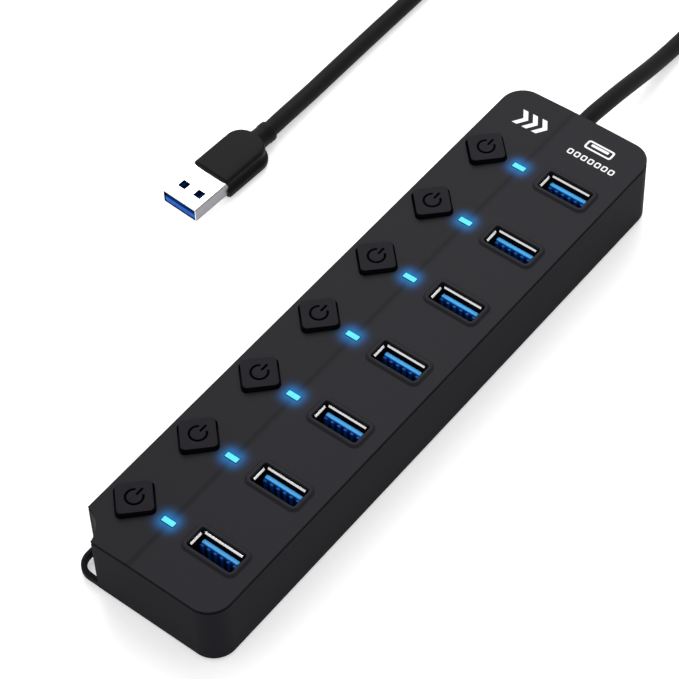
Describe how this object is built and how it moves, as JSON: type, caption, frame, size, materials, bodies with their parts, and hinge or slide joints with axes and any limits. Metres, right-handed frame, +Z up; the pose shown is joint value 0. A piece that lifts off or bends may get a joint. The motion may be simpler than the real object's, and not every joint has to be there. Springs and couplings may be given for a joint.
{
  "type": "usb hub",
  "caption": "Long flat desktop USB hub with upright ports, a diamond push switch and a light beside each one, and a short captive cord with a plug.",
  "frame": {"origin": "on the table, below the middle of the hub without its cord", "axes": "+Y along the case towards the cord end, +Z up, +X towards the ports' side"},
  "size_m": [0.1066, 0.2922, 0.022],
  "materials": {
    "cover_plastic": "satin charcoal, fine texture",
    "case_plastic": "satin black-grey, fine texture",
    "button_plastic": "satin, engraved symbol",
    "plug_plastic": "smooth moulded",
    "plated_steel": "bright nickel plate",
    "blue_plastic": "moulded blue",
    "light_window": "clear, lit from below",
    "board": "solder mask",
    "switch_plastic": "moulded black",
    "white_plastic": "moulded white",
    "screw_steel": "zinc plate",
    "rubber": "matt",
    "cord_sleeve": "satin sleeve"
  },
  "bodies": {
    "case": {"top_cover": "cover_plastic", "bottom_case": "case_plastic", "circuit_board": "board", "port_shell_1": "plated_steel", "port_insulator_1": "blue_plastic", "light_guide_1": "light_window", "switch_body_1": "switch_plastic", "port_shell_2": "plated_steel", "port_insulator_2": "blue_plastic", "light_guide_2": "light_window", "switch_body_2": "switch_plastic", "port_shell_3": "plated_steel", "port_insulator_3": "blue_plastic", "light_guide_3": "light_window", "switch_body_3": "switch_plastic", "port_shell_4": "plated_steel", "port_insulator_4": "blue_plastic", "light_guide_4": "light_window", "switch_body_4": "switch_plastic", "port_shell_5": "plated_steel", "port_insulator_5": "blue_plastic", "light_guide_5": "light_window", "switch_body_5": "switch_plastic", "port_shell_6": "plated_steel", "port_insulator_6": "blue_plastic", "light_guide_6": "light_window", "switch_body_6": "switch_plastic", "port_shell_7": "plated_steel", "port_insulator_7": "blue_plastic", "light_guide_7": "light_window", "switch_body_7": "switch_plastic", "hub_controller_1": "switch_plastic", "hub_controller_2": "switch_plastic", "screw_1": "screw_steel", "screw_2": "screw_steel", "screw_3": "screw_steel", "screw_4": "screw_steel", "foot_1": "rubber", "foot_2": "rubber", "foot_3": "rubber", "foot_4": "rubber", "strain_relief": "cord_sleeve", "cord": "cord_sleeve", "plug_cover": "plug_plastic", "plug_shell": "plated_steel", "plug_insulator": "blue_plastic"},
    "button_1": {"button_cap_1": "button_plastic", "switch_plunger_1": "white_plastic"},
    "button_2": {"button_cap_2": "button_plastic", "switch_plunger_2": "white_plastic"},
    "button_3": {"button_cap_3": "button_plastic", "switch_plunger_3": "white_plastic"},
    "button_4": {"button_cap_4": "button_plastic", "switch_plunger_4": "white_plastic"},
    "button_5": {"button_cap_5": "button_plastic", "switch_plunger_5": "white_plastic"},
    "button_6": {"button_cap_6": "button_plastic", "switch_plunger_6": "white_plastic"},
    "button_7": {"button_cap_7": "button_plastic", "switch_plunger_7": "white_plastic"}
  },
  "joints": [
    {"name": "button_1_press", "type": "slide", "parent": "case", "child": "button_1", "axis": [0, 0, 1], "range_m": [-0.0015, 0], "stiffness_N_per_m": 1000, "springref_m": 0.0005},
    {"name": "button_2_press", "type": "slide", "parent": "case", "child": "button_2", "axis": [0, 0, 1], "range_m": [-0.0015, 0], "stiffness_N_per_m": 1000, "springref_m": 0.0005},
    {"name": "button_3_press", "type": "slide", "parent": "case", "child": "button_3", "axis": [0, 0, 1], "range_m": [-0.0015, 0], "stiffness_N_per_m": 1000, "springref_m": 0.0005},
    {"name": "button_4_press", "type": "slide", "parent": "case", "child": "button_4", "axis": [0, 0, 1], "range_m": [-0.0015, 0], "stiffness_N_per_m": 1000, "springref_m": 0.0005},
    {"name": "button_5_press", "type": "slide", "parent": "case", "child": "button_5", "axis": [0, 0, 1], "range_m": [-0.0015, 0], "stiffness_N_per_m": 1000, "springref_m": 0.0005},
    {"name": "button_6_press", "type": "slide", "parent": "case", "child": "button_6", "axis": [0, 0, 1], "range_m": [-0.0015, 0], "stiffness_N_per_m": 1000, "springref_m": 0.0005},
    {"name": "button_7_press", "type": "slide", "parent": "case", "child": "button_7", "axis": [0, 0, 1], "range_m": [-0.0015, 0], "stiffness_N_per_m": 1000, "springref_m": 0.0005}
  ]
}
